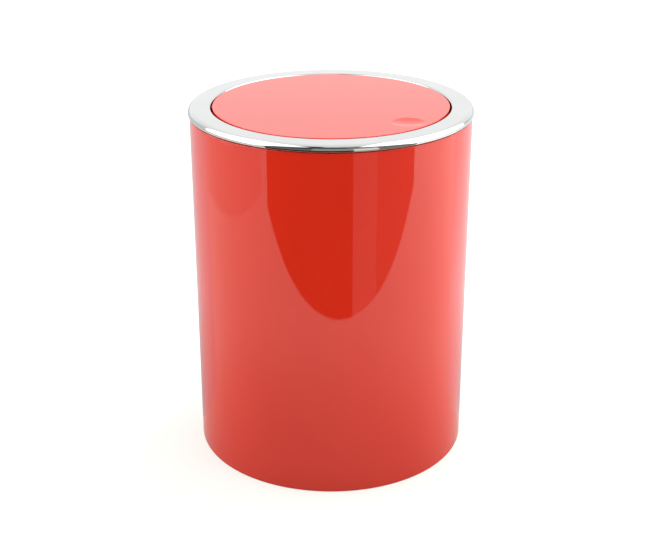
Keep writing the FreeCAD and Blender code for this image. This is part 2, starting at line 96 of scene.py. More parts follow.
@dataclass(frozen=True)
class Grain:
    """Noise pattern: waves per metre, octaves, and factors on the scale along X, Y and Z."""

    scale: float
    detail: float
    stretch: Triple = (1.0, 1.0, 1.0)


class NodeBench:
    """Small workbench for the node tree of a material or of the world."""

    def __init__(
        self, owner: bpy.types.Material | bpy.types.World, shader: str = "Principled BSDF"
    ) -> None:
        """Turns the owner's nodes on and takes hold of its shader.

        Args:
            owner: the material or the world.
            shader: name of the shader node that comes with it.
        """
        owner.use_nodes = True
        self.owner = owner
        self.tree = owner.node_tree
        self.shader = self.tree.nodes[shader]

    def add(self, kind: str, **settings: object) -> bpy.types.Node:
        """Adds a node.

        Args:
            kind: the node's type name.
            settings: attributes to set on it.

        Returns:
            The new node.
        """
        node = self.tree.nodes.new(kind)
        for name, value in settings.items():
            setattr(node, name, value)
        return node

    def put(self, amount: float | Vector | Socket, target: Socket) -> None:
        """Sets an input to a value, or joins it to a socket.

        Args:
            amount: the value or the socket.
            target: the input.
        """
        if isinstance(amount, Socket):
            self.tree.links.new(amount, target)
        else:
            target.default_value = amount

    def set(self, **values: object) -> None:
        """Sets sockets of the shader that are the same all over, spaces written as underscores."""
        for name, value in values.items():
            self.shader.inputs[name.replace("_", " ")].default_value = value

    def feed(self, name: str, source: Socket) -> None:
        """Joins a socket to an input of the shader."""
        self.put(source, self.shader.inputs[name])

    def place(self) -> Socket:
        """The place on the object itself."""
        return self.add("ShaderNodeTexCoord").outputs["Object"]

    def noise(self, grain: Grain) -> Socket:
        """Noise in object space.

        Args:
            grain: the pattern.

        Returns:
            The noise value's socket.
        """
        mapping = self.add("ShaderNodeMapping")
        mapping.inputs["Scale"].default_value = grain.stretch
        self.put(self.place(), mapping.inputs["Vector"])
        node = self.add("ShaderNodeTexNoise")
        node.inputs["Scale"].default_value = grain.scale
        node.inputs["Detail"].default_value = grain.detail
        self.put(mapping.outputs["Vector"], node.inputs["Vector"])
        return node.outputs["Fac"]

    def remap(self, value: Socket, source: Span, target: Span, soft: bool = False) -> Socket:
        """Maps one range to another.

        Args:
            value: what is mapped.
            source: its range.
            target: the range of the result.
            soft: whether the result eases in and out.

        Returns:
            The result's socket.
        """
        node = self.add("ShaderNodeMapRange")
        node.interpolation_type = "SMOOTHSTEP" if soft else "LINEAR"
        ends = zip(("From Min", "From Max", "To Min", "To Max"), (*source, *target))
        for name, amount in ends:
            node.inputs[name].default_value = amount
        self.put(value, node.inputs["Value"])
        return node.outputs["Result"]

    def work_out(
        self, kind: str, operation: str, *terms: Vector | Socket, result: str = "Value"
    ) -> Socket:
        """Works out a number or a vector from others.

        Args:
            kind: the node's type name, for numbers or for vectors.
            operation: what is done.
            terms: the inputs in order.
            result: name of the output.

        Returns:
            The output's socket.
        """
        node = self.add(kind, operation=operation)
        for term, target in zip(terms, node.inputs):
            self.put(term, target)
        return node.outputs[result]

    def by_ray(self, plain: float, seen: float, in_gloss: float | Socket) -> Socket:
        """A strength that depends on what kind of ray asks for it.

        Args:
            plain: strength for light that falls on the bin.
            seen: strength for the camera, also through glass.
            in_gloss: strength for mirrored rays.

        Returns:
            The strength's socket.
        """
        path = self.add("ShaderNodeLightPath")
        strength: float | Socket = plain
        rays = {"Is Glossy Ray": in_gloss, "Is Transmission Ray": seen, "Is Camera Ray": seen}
        for name, amount in rays.items():
            pick = self.add("ShaderNodeMix")
            self.put(strength, pick.inputs["A"])
            self.put(amount, pick.inputs["B"])
            self.put(path.outputs[name], pick.inputs["Factor"])
            strength = pick.outputs["Result"]
        return strength

    def tint(self, value: Socket, colour: Colour, tone: Span) -> None:
        """Drives the base colour between a darker and a lighter shade.

        Args:
            value: the noise that mixes them.
            colour: the linear colour.
            tone: factors on it at the noise's low and high end.
        """
        ramp = self.add("ShaderNodeValToRGB")
        for element, position, factor in zip(ramp.color_ramp.elements, NOISE_MIDDLE, tone):
            element.position = position
            element.color = (*(min(1.0, part * factor) for part in colour), 1.0)
        self.put(value, ramp.inputs["Fac"])
        self.feed("Base Color", ramp.outputs["Color"])

    def roughen(self, value: Socket, roughness: Span) -> None:
        """Lets the roughness follow a noise."""
        self.feed("Roughness", self.remap(value, NOISE_MIDDLE, roughness))

    def relief(self, value: Socket, depth: float, strength: float) -> None:
        """Bump from a height.

        Args:
            value: the height, 0 to 1.
            depth: the height's full range in millimetres.
            strength: share of it that shows.
        """
        bump = self.add("ShaderNodeBump")
        bump.inputs["Strength"].default_value = strength
        bump.inputs["Distance"].default_value = depth * MM
        self.put(value, bump.inputs["Height"])
        self.feed("Normal", bump.outputs["Normal"])


@dataclass(frozen=True)
class Finish:
    """Finish with a clouded tone, marks in the roughness and a fine relief.

    Attributes:
        name: the material's name.
        colour: linear base colour.
        tone: factors on the colour at the cloud's low and high end.
        cloud: pattern of the tone.
        roughness: roughness at the marks' low and high end.
        marks: pattern of the roughness.
        relief: pattern of the relief.
        depth: the relief's full range in millimetres.
        strength: share of the relief that shows.
        metallic: 1 for a metal, 0 for a plastic.
        refraction: index of refraction.
    """

    name: str
    colour: Colour
    tone: Span
    cloud: Grain
    roughness: Span
    marks: Grain
    relief: Grain
    depth: float
    strength: float
    metallic: float = 0.0
    refraction: float = 1.5

    def material(self) -> bpy.types.Material:
        """Builds the node material.

        Returns:
            The material.
        """
        bench = NodeBench(bpy.data.materials.new(self.name))
        bench.set(Metallic=self.metallic, IOR=self.refraction)
        bench.tint(bench.noise(self.cloud), self.colour, self.tone)
        bench.roughen(bench.noise(self.marks), self.roughness)
        bench.relief(bench.noise(self.relief), self.depth, self.strength)
        return bench.owner


ROLLED = Grain(900.0, 3.0, (1.0, 0.15, 1.0))
LATHED = Grain(900.0, 3.0, (1.0, 0.1, 0.1))
ERODED = Grain(2400.0, 2.0)

# High-gloss moulded plastic with a faint flow tint, polish marks and a slight orange peel.
GLOSS_RED = Finish(
    name="red_gloss_plastic",
    colour=(0.585, 0.0225, 0.0088),
    tone=(0.96, 1.04),
    cloud=Grain(14.0, 3.0, (1.0, 1.0, 0.4)),
    roughness=(0.022, 0.045),
    marks=Grain(60.0, 5.0, (1.0, 1.0, 0.25)),
    relief=Grain(260.0, 2.0),
    depth=0.006,
    strength=0.35,
    refraction=1.54,
)
# Bright plating with a faint wipe haze and the moulding's slight waviness under it.
PLATED_CHROME = Finish(
    name="bright_chrome_plate",
    colour=(0.52, 0.53, 0.53),
    tone=(0.97, 1.03),
    cloud=Grain(40.0, 4.0),
    roughness=(0.03, 0.07),
    marks=Grain(90.0, 5.0),
    relief=Grain(120.0, 1.0),
    depth=0.004,
    strength=0.3,
    metallic=1.0,
)
# Zinced steel with rolling marks along one direction and a mottled tone.
ZINCED_STEEL = Finish(
    name="zinced_plate",
    colour=(0.50, 0.51, 0.53),
    tone=(0.88, 1.08),
    cloud=Grain(180.0, 4.0),
    roughness=(0.32, 0.48),
    marks=ROLLED,
    relief=ROLLED,
    depth=0.02,
    strength=0.25,
    metallic=1.0,
)
# The same, bare and with lathe marks.
TURNED_STEEL = replace(
    ZINCED_STEEL,
    name="turned_steel",
    colour=(0.60, 0.60, 0.61),
    roughness=(0.20, 0.34),
    marks=LATHED,
    relief=LATHED,
)
# Unpolished natural plastic with a slight cloud in the tone and a fine eroded skin.
NATURAL_ACETAL = Finish(
    name="natural_acetal",
    colour=(0.80, 0.79, 0.74),
    tone=(0.95, 1.03),
    cloud=Grain(120.0, 3.0),
    roughness=(0.34, 0.46),
    marks=ERODED,
    relief=ERODED,
    depth=0.01,
    strength=0.3,
    refraction=1.48,
)
FINISHES = {
    Slot.RED: GLOSS_RED,
    Slot.CHROME: PLATED_CHROME,
    Slot.ZINC: ZINCED_STEEL,
    Slot.STEEL: TURNED_STEEL,
    Slot.ACETAL: NATURAL_ACETAL,
}


# Modelling helpers


def deselect() -> None:
    """Leaves edit mode and deselects every object."""
    if bpy.context.object and bpy.context.object.mode != "OBJECT":
        bpy.ops.object.mode_set(mode="OBJECT")
    bpy.ops.object.select_all(action="DESELECT")


def activate(*objects: Piece) -> None:
    """Selects objects and makes the first one active.

    Args:
        objects: the objects, and no others, to select.
    """
    deselect()
    for obj in objects:
        obj.select_set(True)
    bpy.context.view_layer.objects.active = objects[0]


def settle(obj: Piece) -> None:
    """Applies an object's place, turn and scale to its mesh."""
    activate(obj)
    bpy.ops.object.transform_apply(location=True, rotation=True, scale=True)


def join(name: str, pieces: list[Piece]) -> Piece:
    """Joins objects into one.

    Args:
        name: the result's name.
        pieces: the objects, of which the first takes in the others.

    Returns:
        The joined object.
    """
    activate(*pieces)
    bpy.ops.object.join()
    obj = bpy.context.object
    obj.name = obj.data.name = name
    return obj


def copy_turned(obj: Piece, angle: float) -> Piece:
    """Copies an object with its own mesh and turns the copy about the bin's axis.

    Args:
        obj: the object to copy.
        angle: degrees about +Z.

    Returns:
        The copy, with its turn applied.
    """
    activate(obj)
    bpy.ops.object.duplicate(linked=False)
    copy = bpy.context.object
    copy.rotation_euler = (0.0, 0.0, math.radians(angle))
    settle(copy)
    return copy


def repeat_round(name: str, first: Piece, count: int, start: float) -> Piece:
    """Repeats an object evenly about the bin's axis, in place of the one modelled.

    Args:
        name: the result's name.
        first: the object modelled once, at the angle 0.
        count: how many there are.
        start: angle of the first copy.

    Returns:
        The copies as one object.
    """
    copies = [copy_turned(first, start + 360.0 / count * k) for k in range(count)]
    bpy.data.objects.remove(first)
    return join(name, copies)


def apply_modifier(obj: Piece, kind: str, **settings: object) -> None:
    """Adds a modifier and applies it.

    Args:
        obj: the object.
        kind: the modifier's type.
        settings: its attributes.
    """
    activate(obj)
    bpy.ops.object.modifier_add(type=kind)
    modifier = obj.modifiers[-1]
    for name, value in settings.items():
        setattr(modifier, name, value)
    bpy.ops.object.modifier_apply(modifier=modifier.name)


def soften(obj: Piece, width: float) -> None:
    """Bevels an object's sharp edges."""
    apply_modifier(obj, "BEVEL", width=width * MM, segments=BEVEL_PARTS, limit_method="ANGLE")


def block(low: Triple, high: Triple) -> Piece:
    """Makes a box between two corners.

    Args:
        low: lowest corner.
        high: highest corner.

    Returns:
        The box.
    """
    deselect()
    bpy.ops.mesh.primitive_cube_add(size=1.0)
    obj = bpy.context.object
    obj.scale = [(b - a) * MM for a, b in zip(low, high)]
    obj.location = [(a + b) / 2 * MM for a, b in zip(low, high)]
    settle(obj)
    return obj


def edit(obj: Piece, action: str = "SELECT", kind: str = "VERT") -> None:
    """Opens an object's mesh in edit mode.

    Args:
        obj: the object.
        action: what is done with the selection of the whole mesh.
        kind: what is selected, vertices or edges.
    """
    activate(obj)
    bpy.ops.object.mode_set(mode="EDIT")
    bpy.ops.mesh.select_mode(type=kind)
    bpy.ops.mesh.select_all(action=action)


def select_by_place(obj: Piece, wanted: Callable[[int, Vector], bool]) -> None:
    """Selects vertices in edit mode, and the edges between them.

    Args:
        obj: the object, which is left in edit mode.
        wanted: test of a vertex's index and place.
    """
    edit(obj, "DESELECT")
    bpy.ops.object.mode_set(mode="OBJECT")
    for vertex in obj.data.vertices:
        vertex.select = wanted(vertex.index, vertex.co)
    bpy.ops.object.mode_set(mode="EDIT")


def finish_edit(merge: bool = True) -> None:
    """Turns the faces of the mesh outwards and leaves edit mode.

    Args:
        merge: whether doubles are merged first.
    """
    bpy.ops.mesh.select_all(action="SELECT")
    if merge:
        bpy.ops.mesh.remove_doubles(threshold=MERGE_DISTANCE)
    bpy.ops.mesh.normals_make_consistent(inside=False)
    bpy.ops.object.mode_set(mode="OBJECT")


@dataclass(frozen=True)
class Corner:
    """Corner of a turned section: distance from the axis, height, and how far it is rounded."""

    radius: float
    height: float
    rounding: float = 0.0


def rounded(
    corners: list[Corner], closed: bool, steps: int = 8, hold: float = 0.25
) -> list[Point]:
    """Rounds the corners of a section.

    Each round gets a holding point on the straight beside it, so that flat faces shade flat.

    Args:
        corners: the section's corners in order.
        closed: whether the last corner joins the first.
        steps: parts of each round.
        hold: distance of a holding point from its round.

    Returns:
        Points as (radius, height).
    """
    points: list[Point] = []
    count = len(corners)
    for i, corner in enumerate(corners):
        here = Vector((corner.radius, corner.height))
        ended = not closed and i in (0, count - 1)
        if ended or not corner.rounding:
            points.append(tuple(here))
            continue
        back, ahead = corners[i - 1], corners[(i + 1) % count]
        to_back = Vector((back.radius, back.height)) - here
        to_ahead = Vector((ahead.radius, ahead.height)) - here
        u, v = to_back.normalized(), to_ahead.normalized()
        opening = u.angle(v)
        reach = corner.rounding / math.tan(opening / 2)
        centre = here + (u + v).normalized() * (corner.rounding / math.sin(opening / 2))
        start, end = here + u * reach - centre, here + v * reach - centre
        sweep = math.pi - opening
        if to_back.length > reach + 2 * hold:
            points.append(tuple(here + u * (reach + hold)))
        for k in range(steps + 1):
            from_start = math.sin((1 - k / steps) * sweep) * start
            from_end = math.sin(k / steps * sweep) * end
            points.append(tuple(centre + (from_start + from_end) / math.sin(sweep)))
        if to_ahead.length > reach + 2 * hold:
            points.append(tuple(here + v * (reach + hold)))
    return points


@dataclass(frozen=True)
class Turner:
    """Turns sections about Z by drawing a ring out, ring after ring."""

    segments: int

    def turn(self, name: str, points: list[Point], closed: bool = True) -> Piece:
        """Turns a section.

        Args:
            name: the object's name.
            points: the section as (radius, height); an end at radius 0 becomes a pole.
            closed: whether the section joins up with its start.

        Returns:
            The turned object.
        """
        pole = points[0] if points[0][0] == 0 else None
        rings = points[1:] if pole else list(points)
        if closed:
            rings.append(rings[0])
        deselect()
        radius, height = rings[0]
        bpy.ops.mesh.primitive_circle_add(
            vertices=self.segments, radius=radius * MM, fill_type="NOTHING"
        )
        obj = bpy.context.object
        obj.name = obj.data.name = name
        edit(obj)
        bpy.ops.transform.translate(value=(0.0, 0.0, height * MM))
        for old, new in zip(rings, rings[1:]):
            self._draw_out(old, new)
        if pole:
            select_by_place(obj, lambda index, place: index < self.segments)
            self._draw_out(rings[0], pole)
        finish_edit()
        return obj

    @staticmethod
    def _draw_out(old: Point, new: Point) -> None:
        """Extrudes the selected ring to a new radius and height.

        Args:
            old: radius and height of the ring now.
            new: radius and height to go to; radius 0 closes the ring to a point.
        """
        bpy.ops.mesh.extrude_region()
        if new[0] == 0:
            bpy.ops.mesh.merge(type="CENTER")
        elif new[0] != old[0]:
            factor = new[0] / old[0]
            bpy.ops.transform.resize(
                value=(factor, factor, 1.0), center_override=(0.0, 0.0, 0.0)
            )
        if new[1] != old[1]:
            bpy.ops.transform.translate(value=(0.0, 0.0, (new[1] - old[1]) * MM))


TURNER = Turner(segments=192)
FINE_TURNER = Turner(segments=64)
FINE_STEPS = 4


def lay_along_pivot(obj: Piece, side: Side, height: float) -> None:
    """Lays a piece that was turned about Z along the pivot line.

    Args:
        obj: the piece; its heights become distances from the bin's axis.
        side: the end of the pivot line.
        height: the pivot line's height.
    """
    obj.rotation_euler = (0.0, side.value * math.pi / 2, 0.0)
    obj.location = (0.0, 0.0, height * MM)
    settle(obj)


def turn_at_both_ends(name: str, corners: list[Corner], closed: bool, height: float) -> Piece:
    """Turns a small section about the pivot line, at both of its ends.

    Args:
        name: the result's name.
        corners: the section, with distances from the bin's axis as heights.
        closed: whether the section joins up with its start.
        height: the pivot line's height.

    Returns:
        Both pieces as one object.
    """
    points = rounded(corners, closed, FINE_STEPS)
    ends = []
    for side in Side:
        obj = FINE_TURNER.turn(name, points, closed)
        lay_along_pivot(obj, side, height)
        ends.append(obj)
    return join(name, ends)


class Wardrobe:
    """Keeps one material of each finish and dresses pieces with it."""

    crease: float = 38.0

    def __init__(self) -> None:
        """Builds the materials."""
        self.materials = {slot: finish.material() for slot, finish in FINISHES.items()}

    def dress(self, obj: Piece, body: Body, slot: Slot, replaces: str = "") -> None:
        """Finishes a new piece: shading, material, and the body that it moves with.

        Args:
            obj: the piece.
            body: the body it rides on.
            slot: the record's material slot.
            replaces: the CAD node it stands for, if any.
        """
        activate(obj)
        bpy.ops.object.shade_smooth_by_angle(angle=math.radians(self.crease))
        obj.data.materials.clear()
        obj.data.materials.append(self.materials[slot])
        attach(obj, body.value)
        if replaces:
            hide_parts(replaces)
        log.info("%s rides on %s: %d faces", obj.name, body.value, len(obj.data.polygons))

    def dress_node(self, node: str, slot: Slot) -> None:
        """Gives a CAD node that stays in view its finish.

        Args:
            node: the node's name.
            slot: the record's material slot.
        """
        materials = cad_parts[node].data.materials
        materials.clear()
        materials.append(self.materials[slot])
        log.info("%s keeps its solid, finish %s", node, slot.value)


# Sub-assemblies


@dataclass
class Bucket:
    """The bin's bucket: a straight moulding with a raised floor inside a foot ring."""

    rim_radius: float = 91.6
    base_radius: float = 91.25
    rim_height: float = 231.2
    wall: float = 2.0
    foot_width: float = 5.0
    floor_low: float = 4.0
    floor_top: float = 6.2
    rim_round: float = 0.6
    base_round: float = 0.8
    foot_round: float = 0.4
    foot_root: float = 0.6
    floor_root: float = 5.0

    def build(self, wardrobe: Wardrobe) -> None:
        """Turns the bucket and dresses it.

        Args:
            wardrobe: the finishes.
        """
        foot_in = self.base_radius - self.foot_width
        corners = [
            Corner(0.0, self.floor_low),
            Corner(foot_in, self.floor_low, self.foot_root),
            Corner(foot_in, 0.0, self.foot_round),
            Corner(self.base_radius, 0.0, self.base_round),
            Corner(self.rim_radius, self.rim_height, self.rim_round),
            Corner(self.rim_radius - self.wall, self.rim_height, self.rim_round),
            Corner(self.base_radius - self.wall, self.floor_top, self.floor_root),
            Corner(0.0, self.floor_top),
        ]
        obj = TURNER.turn("bucket_moulding", rounded(corners, closed=False), closed=False)
        wardrobe.dress(obj, Body.BUCKET, Slot.RED, "body_shell")


@dataclass
class LidRing:
    """The plated ring round the opening, with the snap hooks under it."""

    outer_radius: float = 92.5
    opening_radius: float = 77.68
    top: float = 236.0
    low: float = 232.2
    inner_low: float = 233.2
    wall: float = 1.6
    outer_round: float = 3.4
    inner_round: float = 1.5
    inner_lip: float = 0.2
    outer_lip: float = 0.15
    root: float = 0.3
    round_steps: int = 12
    hook_radius: float = 83.915
    hook_count: int = 6
    hook_first: float = 30.0
    hook_thick: float = 1.4
    hook_width: float = 8.0
    hook_soft: float = 0.2
    barb: float = 0.8
    barb_low: float = 229.5
    barb_top: float = 230.9
    barb_nose: float = 0.1
    weld: float = 0.1

    def build(self, wardrobe: Wardrobe) -> None:
        """Turns the ring, makes the hooks and dresses both.

        Args:
            wardrobe: the finishes.
        """
        under = self.top - self.wall
        inner = self.opening_radius + self.wall
        outer = self.outer_radius - self.wall
        corners = [
            Corner(self.opening_radius, self.inner_low, self.inner_lip),
            Corner(self.opening_radius, self.top, self.inner_round),
            Corner(self.outer_radius, self.top, self.outer_round),
            Corner(self.outer_radius, self.low, self.outer_lip),
            Corner(outer, self.low, self.outer_lip),
            Corner(outer, under, self.outer_round - self.wall),
            Corner(inner, under, self.root),
            Corner(inner, self.inner_low, self.inner_lip),
        ]
        ring = TURNER.turn("ring_plating", rounded(corners, closed=True, steps=self.round_steps))
        wardrobe.dress(ring, Body.LID, Slot.CHROME, "chrome_ring")
        wardrobe.dress(self._hooks(), Body.LID, Slot.CHROME)

    def _hooks(self) -> Piece:
        """Models one snap hook, with a sloping barb, and repeats it round the ring.

        Returns:
            The hooks.
        """
        half = self.hook_width / 2
        near = self.hook_radius - self.hook_thick / 2
        far = self.hook_radius + self.hook_thick / 2
        leg = block((near, -half, self.barb_low), (far, half, self.top - self.wall / 2))
        soften(leg, self.hook_soft)
        barb = block(
            (far - self.weld, -half, self.barb_low), (far + self.barb, half, self.barb_top)
        )
        reach = (far + self.barb / 2) * MM
        middle = (self.barb_low + self.barb_top) / 2 * MM
        select_by_place(barb, lambda index, place: place.x > reach and place.z < middle)
        bpy.ops.transform.translate(value=((self.barb_nose - self.barb) * MM, 0.0, 0.0))
        bpy.ops.object.mode_set(mode="OBJECT")
        hook = join("hook", [leg, barb])
        return repeat_round("ring_hooks", hook, self.hook_count, self.hook_first)


@dataclass
class LidFrame:
    """The frame under the ring: flange, spigot, pivot wall, ribs, bush sockets and flap stop."""

    opening: float = 78.18
    wall_out: float = 80.18
    wall_low: float = 222.4
    rim: float = 231.2
    flange_top: float = 233.2
    flange_radius: float = 90.7
    spigot_radius: float = 89.25
    spigot_in: float = 87.65
    spigot_low: float = 222.6
    lead_in: float = 1.0
    lead_in_round: float = 0.4
    wall_round: float = 0.4
    mouth_round: float = 0.3
    edge_round: float = 0.2
    root: float = 0.6
    round_steps: int = 5
    rib_count: int = 12
    rib_first: float = 15.0
    rib_thick: float = 1.4
    rib_low: float = 225.6
    rib_soft: float = 0.3
    weld: float = 0.5
    pivot_height: float = 228.2
    drill_sides: int = 48
    drill_length: float = 250.0
    socket_bore: float = 3.02
    socket_radius: float = 4.62
    socket_near: float = 78.28
    socket_far: float = 84.28
    socket_round: float = 0.4
    bore_round: float = 0.3
    bore_root: float = 0.1
    stop_reach: float = 4.0
    stop_low: float = 224.7
    stop_top: float = 226.5
    stop_angle: float = 50.0
    stop_steps: int = 30
    stop_soft: float = 0.4

    def build(self, wardrobe: Wardrobe) -> None:
        """Makes the frame's pieces and dresses them.

        Args:
            wardrobe: the finishes.
        """
        wardrobe.dress(self._moulding(), Body.LID, Slot.RED, "lid_frame")
        for piece in (self._ribs(), self._sockets(), self._stop()):
            wardrobe.dress(piece, Body.LID, Slot.RED)

    def _moulding(self) -> Piece:
        """Turns the frame and bores it along the pivot line.

        Returns:
            The frame.
        """
        corners = [
            Corner(self.opening, self.wall_low, self.wall_round),
            Corner(self.opening, self.flange_top, self.mouth_round),
            Corner(self.flange_radius, self.flange_top, self.edge_round),
            Corner(self.flange_radius, self.rim, self.edge_round),
            Corner(self.spigot_radius, self.rim, self.edge_round),
            Corner(self.spigot_radius, self.spigot_low + self.lead_in, self.lead_in_round),
            Corner(self.spigot_radius - self.lead_in, self.spigot_low, self.edge_round),
            Corner(self.spigot_in, self.spigot_low, self.edge_round),
            Corner(self.spigot_in, self.rim, self.root),
            Corner(self.wall_out, self.rim, self.root),
            Corner(self.wall_out, self.wall_low, self.wall_round),
        ]
        obj = TURNER.turn("frame_moulding", rounded(corners, closed=True, steps=self.round_steps))
        deselect()
        bpy.ops.mesh.primitive_cylinder_add(
            vertices=self.drill_sides, radius=self.socket_bore * MM, depth=self.drill_length * MM
        )
        drill = bpy.context.object
        lay_along_pivot(drill, Side.RIGHT, self.pivot_height)
        apply_modifier(obj, "BOOLEAN", operation="DIFFERENCE", solver="EXACT", object=drill)
        bpy.data.objects.remove(drill)
        return obj

    def _ribs(self) -> Piece:
        """Repeats one radial rib between the pivot wall and the spigot.

        Returns:
            The ribs.
        """
        half = self.rib_thick / 2
        rib = block(
            (self.wall_out - self.weld, -half, self.rib_low),
            (self.spigot_in + self.weld, half, self.rim + self.weld),
        )
        soften(rib, self.rib_soft)
        return repeat_round("frame_ribs", rib, self.rib_count, self.rib_first)

    def _sockets(self) -> Piece:
        """Turns the two bush sockets on the outer side of the pivot wall.

        Returns:
            The sockets.
        """
        corners = [
            Corner(self.socket_bore, self.socket_near, self.bore_root),
            Corner(self.socket_radius, self.socket_near),
            Corner(self.socket_radius, self.socket_far, self.socket_round),
            Corner(self.socket_bore, self.socket_far, self.bore_round),
        ]
        return turn_at_both_ends("frame_sockets", corners, True, self.pivot_height)

    def _stop(self) -> Piece:
        """Spins the ledge at the rear on which the flap rests when it is level.

        Returns:
            The ledge.
        """
        near, far = self.opening - self.stop_reach, self.opening + self.weld
        deselect()
        bpy.ops.mesh.primitive_plane_add(size=1.0, rotation=(math.pi / 2, 0.0, 0.0))
        obj = bpy.context.object
        obj.name = obj.data.name = "frame_stop"
        obj.scale = ((far - near) * MM, (self.stop_top - self.stop_low) * MM, 1.0)
        obj.location = ((near + far) / 2 * MM, 0.0, (self.stop_low + self.stop_top) / 2 * MM)
        settle(obj)
        edit(obj)
        bpy.ops.mesh.spin(
            steps=self.stop_steps,
            angle=math.radians(self.stop_angle),
            center=(0.0, 0.0, 0.0),
            axis=(0.0, 0.0, 1.0),
        )
        finish_edit()
        places = [vertex.co for vertex in obj.data.vertices]
        middle = sum(places, Vector()) / len(places)
        obj.rotation_euler = (0.0, 0.0, math.pi / 2 - math.atan2(middle.y, middle.x))
        settle(obj)
        soften(obj, self.stop_soft)
        return obj


@dataclass
class Flap:
    """The swing flap: a round cover with a finger dimple and the bosses that hold its pins."""

    radius: float = 76.68
    top: float = 235.85
    low: float = 226.6
    skin: float = 2.0
    skirt: float = 1.8
    edge_round: float = 0.35
    skirt_round: float = 0.3
    skirt_root: float = 0.5
    dimple_distance: float = 64.4
    dimple_radius: float = 10.5
    dimple_depth: float = 1.1
    dimple_round: float = 3.0
    dimple_steps: int = 10
    bulge_radius: float = 8.86
    bulge_root: float = 0.2
    bulge_round: float = 0.5
    pivot_height: float = 228.2
    boss_radius: float = 4.0
    boss_near: float = 60.08
    boss_far: float = 77.08
    boss_round: float = 0.6
    boss_lip: float = 0.3
    pin_near: float = 62.08
    pin_bore: float = 2.02
    bore_round: float = 0.2
    margin: float = 0.5

    def build(self, wardrobe: Wardrobe) -> None:
        """Makes the flap's pieces and dresses them."""
        wardrobe.dress(self._cover(), Body.FLAP, Slot.RED, "flap_top")
        wardrobe.dress(self._bosses(), Body.FLAP, Slot.RED)

    def _cover(self) -> Piece:
        """Turns the edge and the dimple apart, joins them and fills the flats between.

        Returns:
            The cover.
        """
        under = self.top - self.skin
        skirt_in = self.radius - self.skirt
        corners = [
            Corner(self.radius - self.edge_round - self.margin, self.top),
            Corner(self.radius, self.top, self.edge_round),
            Corner(self.radius, self.low, self.skirt_round),
            Corner(skirt_in, self.low, self.skirt_round),
            Corner(skirt_in, under, self.skirt_root),
            Corner(skirt_in - self.skirt_root - self.margin, under),
        ]
        edge = TURNER.turn("edge", rounded(corners, closed=False), closed=False)
        dent = FINE_TURNER.turn("dent", self._dent_section(), closed=False)
        bulge = FINE_TURNER.turn("bulge", self._bulge_section(), closed=False)
        for obj in (dent, bulge):
            obj.location = (0.0, -self.dimple_distance * MM, 0.0)
            settle(obj)
        cover = join("flap_moulding", [edge, dent, bulge])
        for height in (self.top, under):
            self._fill_flat(cover, height)
        finish_edit(merge=False)
        return cover

    def _ball(self) -> Point:
        """Radius of the dimple's ball and its centre's height above the flap's top."""
        ball = (self.dimple_radius**2 + self.dimple_depth**2) / (2 * self.dimple_depth)
        return ball, ball - self.dimple_depth

    def _dent_section(self) -> list[Point]:
        """Section of the dimple from the flat, over its soft rim, to its lowest point.

        Returns:
            Points as (radius, height), about the dimple's own axis.
        """
        ball, rise = self._ball()
        soft, steps = self.dimple_round, self.dimple_steps
        rim = math.sqrt((ball + soft) ** 2 - (rise + soft) ** 2)
        slope = math.asin(rim / (ball + soft))
        points = [(rim + self.margin, self.top), (rim + self.margin / 2, self.top)]
        for k in range(steps + 1):
            angle = slope * k / steps
            height = self.top - soft + soft * math.cos(angle)
            points.append((rim - soft * math.sin(angle), height))
        for k in range(1, 2 * steps):
            angle = slope * (1 - k / (2 * steps))
            points.append((ball * math.sin(angle), self.top + rise - ball * math.cos(angle)))
        return points + [(0.0, self.top - self.dimple_depth)]

    def _bulge_section(self) -> list[Point]:
        """Section of the thickening under the dimple.

        Returns:
            Points as (radius, height), about the dimple's own axis.
        """
        under = self.top - self.skin
        low = under - self.dimple_depth
        corners = [
            Corner(self.bulge_radius + self.margin / 2, under),
            Corner(self.bulge_radius, under, self.bulge_root),
            Corner(self.dimple_radius / 2, low, self.bulge_round),
            Corner(0.0, low),
        ]
        return rounded(corners, closed=False, steps=FINE_STEPS)[::-1]

    def _fill_flat(self, cover: Piece, height: float) -> None:
        """Fills the flat between the flap's edge and the dimple at one height.

        Args:
            cover: the joined object, left in edit mode.
            height: the flat's height.
        """
        edit(cover, "DESELECT", "EDGE")
        bpy.ops.mesh.select_non_manifold(
            use_wire=False, use_multi_face=False, use_non_contiguous=False, use_verts=False
        )
        bpy.ops.object.mode_set(mode="OBJECT")
        for edge in cover.data.edges:
            gaps = [abs(cover.data.vertices[i].co.z - height * MM) for i in edge.vertices]
            edge.select = edge.select and max(gaps) < SAME_HEIGHT
        bpy.ops.object.mode_set(mode="EDIT")
        bpy.ops.mesh.fill(use_beauty=True)

    def _bosses(self) -> Piece:
        """Turns the bosses that hold the pivot pins.

        Returns:
            The bosses.
        """
        corners = [
            Corner(0.0, self.boss_near),
            Corner(self.boss_radius, self.boss_near, self.boss_round),
            Corner(self.boss_radius, self.boss_far, self.boss_lip),
            Corner(self.pin_bore, self.boss_far, self.bore_round),
            Corner(self.pin_bore, self.pin_near),
            Corner(0.0, self.pin_near),
        ]
        return turn_at_both_ends("flap_bosses", corners, False, self.pivot_height)


@dataclass
class SmallParts:
    """Pieces whose solids stay in view: base plate, weight, pins, bushes and screws."""

    finishes: tuple[tuple[str, Slot], ...] = (
        ("flap_base", Slot.RED),
        ("counterweight", Slot.ZINC),
        ("pivot_pin_left", Slot.STEEL),
        ("pivot_pin_right", Slot.STEEL),
        ("pivot_bush_left", Slot.ACETAL),
        ("pivot_bush_right", Slot.ACETAL),
        ("flap_screws", Slot.STEEL),
    )

    def build(self, wardrobe: Wardrobe) -> None:
        """Dresses the solids."""
        for node, slot in self.finishes:
            wardrobe.dress_node(node, slot)


# Studio


